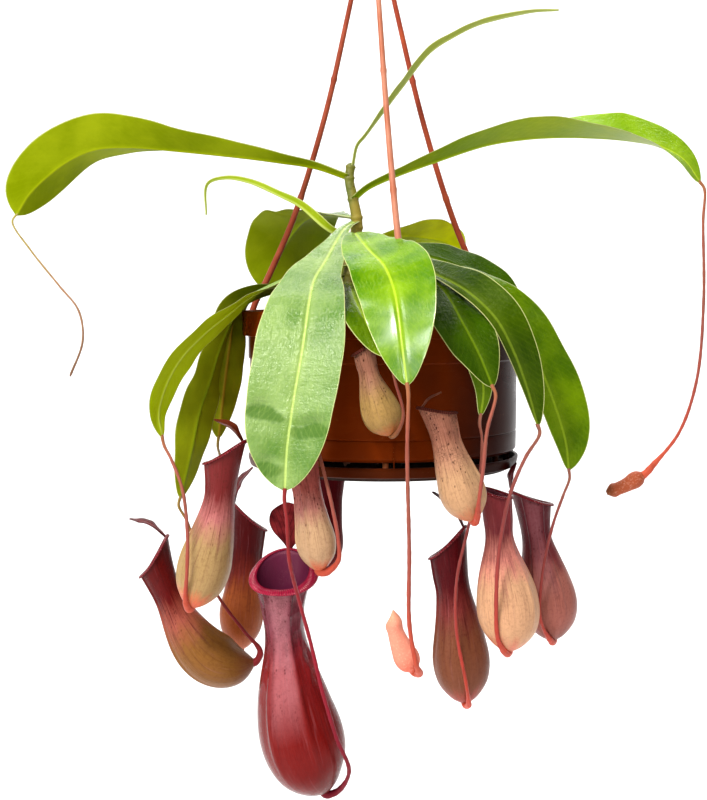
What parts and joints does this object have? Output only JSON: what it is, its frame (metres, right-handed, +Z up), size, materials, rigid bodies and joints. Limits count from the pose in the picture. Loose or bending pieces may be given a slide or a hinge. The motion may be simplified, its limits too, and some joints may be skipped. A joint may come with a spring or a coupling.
{
  "type": "hanging pitcher plant",
  "caption": "Tropical pitcher plant with arching leaves and hanging pitchers in a round plastic hanging pot with a clip-on saucer and a strand hanger with a hook.",
  "frame": {"origin": "inside the crest of the hanger's hook, where the rod that carries the pot touches it", "axes": "+Z up, -Y towards the side that the plant is seen from, +X to the right from there"},
  "size_m": [0.3649, 0.2257, 0.5069],
  "materials": {
    "terracotta_plastic": "semi-gloss moulded, terracotta brown",
    "hanger_plastic": "semi-gloss moulded, faded pink-terracotta",
    "potting_mix": "loose bark and peat, matt",
    "plant_stem": "yellow-tan bark with green, matt",
    "leaf_blade": "leathery living leaf, glossy above, paler below",
    "pitcher_wall": "waxy living pitcher, dark red neck, amber to red belly",
    "young_pitcher": "downy young pitcher, coral",
    "tendril": "smooth living tendril, green to coral red"
  },
  "bodies": {
    "root": {"clip_on_saucer": "terracotta_plastic", "hanger_hook": "hanger_plastic", "hanger_strand_front": "hanger_plastic", "hanger_strand_left": "hanger_plastic", "hanger_strand_right": "hanger_plastic", "hanging_pot": "terracotta_plastic", "leaf_back_centre": "leaf_blade", "leaf_back_far_right": "leaf_blade", "leaf_back_left": "leaf_blade", "leaf_back_right": "leaf_blade", "leaf_front_centre": "leaf_blade", "leaf_front_left": "leaf_blade", "leaf_front_right": "leaf_blade", "leaf_left_inner": "leaf_blade", "leaf_left_lower": "leaf_blade", "leaf_left_middle": "leaf_blade", "leaf_left_outer": "leaf_blade", "leaf_low_centre": "leaf_blade", "leaf_right_arching": "leaf_blade", "leaf_right_outer": "leaf_blade", "leaf_right_rear": "leaf_blade", "leaf_right_under": "leaf_blade", "leaf_top": "leaf_blade", "leaf_upper_left": "leaf_blade", "leaf_upper_right": "leaf_blade", "leaf_young_left": "leaf_blade", "pitcher_big_front": "pitcher_wall", "pitcher_far_left": "pitcher_wall", "pitcher_left": "pitcher_wall", "pitcher_left_rear": "pitcher_wall", "pitcher_rear": "pitcher_wall", "pitcher_right_front": "pitcher_wall", "pitcher_right_outer": "pitcher_wall", "pitcher_right_rear": "pitcher_wall", "pitcher_small_centre": "pitcher_wall", "pitcher_small_left": "pitcher_wall", "pitcher_small_right": "pitcher_wall", "pitcher_young_centre": "young_pitcher", "pitcher_young_right": "young_pitcher", "potting_mix": "potting_mix", "stem": "plant_stem", "tendril_big_front": "tendril", "tendril_far_left": "tendril", "tendril_left": "tendril", "tendril_left_rear": "tendril", "tendril_rear": "tendril", "tendril_right_front": "tendril", "tendril_right_outer": "tendril", "tendril_right_rear": "tendril", "tendril_small_centre": "tendril", "tendril_small_left": "tendril", "tendril_small_right": "tendril", "tendril_upper_left": "tendril", "tendril_upper_right": "tendril", "tendril_young_centre": "tendril"}
  },
  "joints": []
}
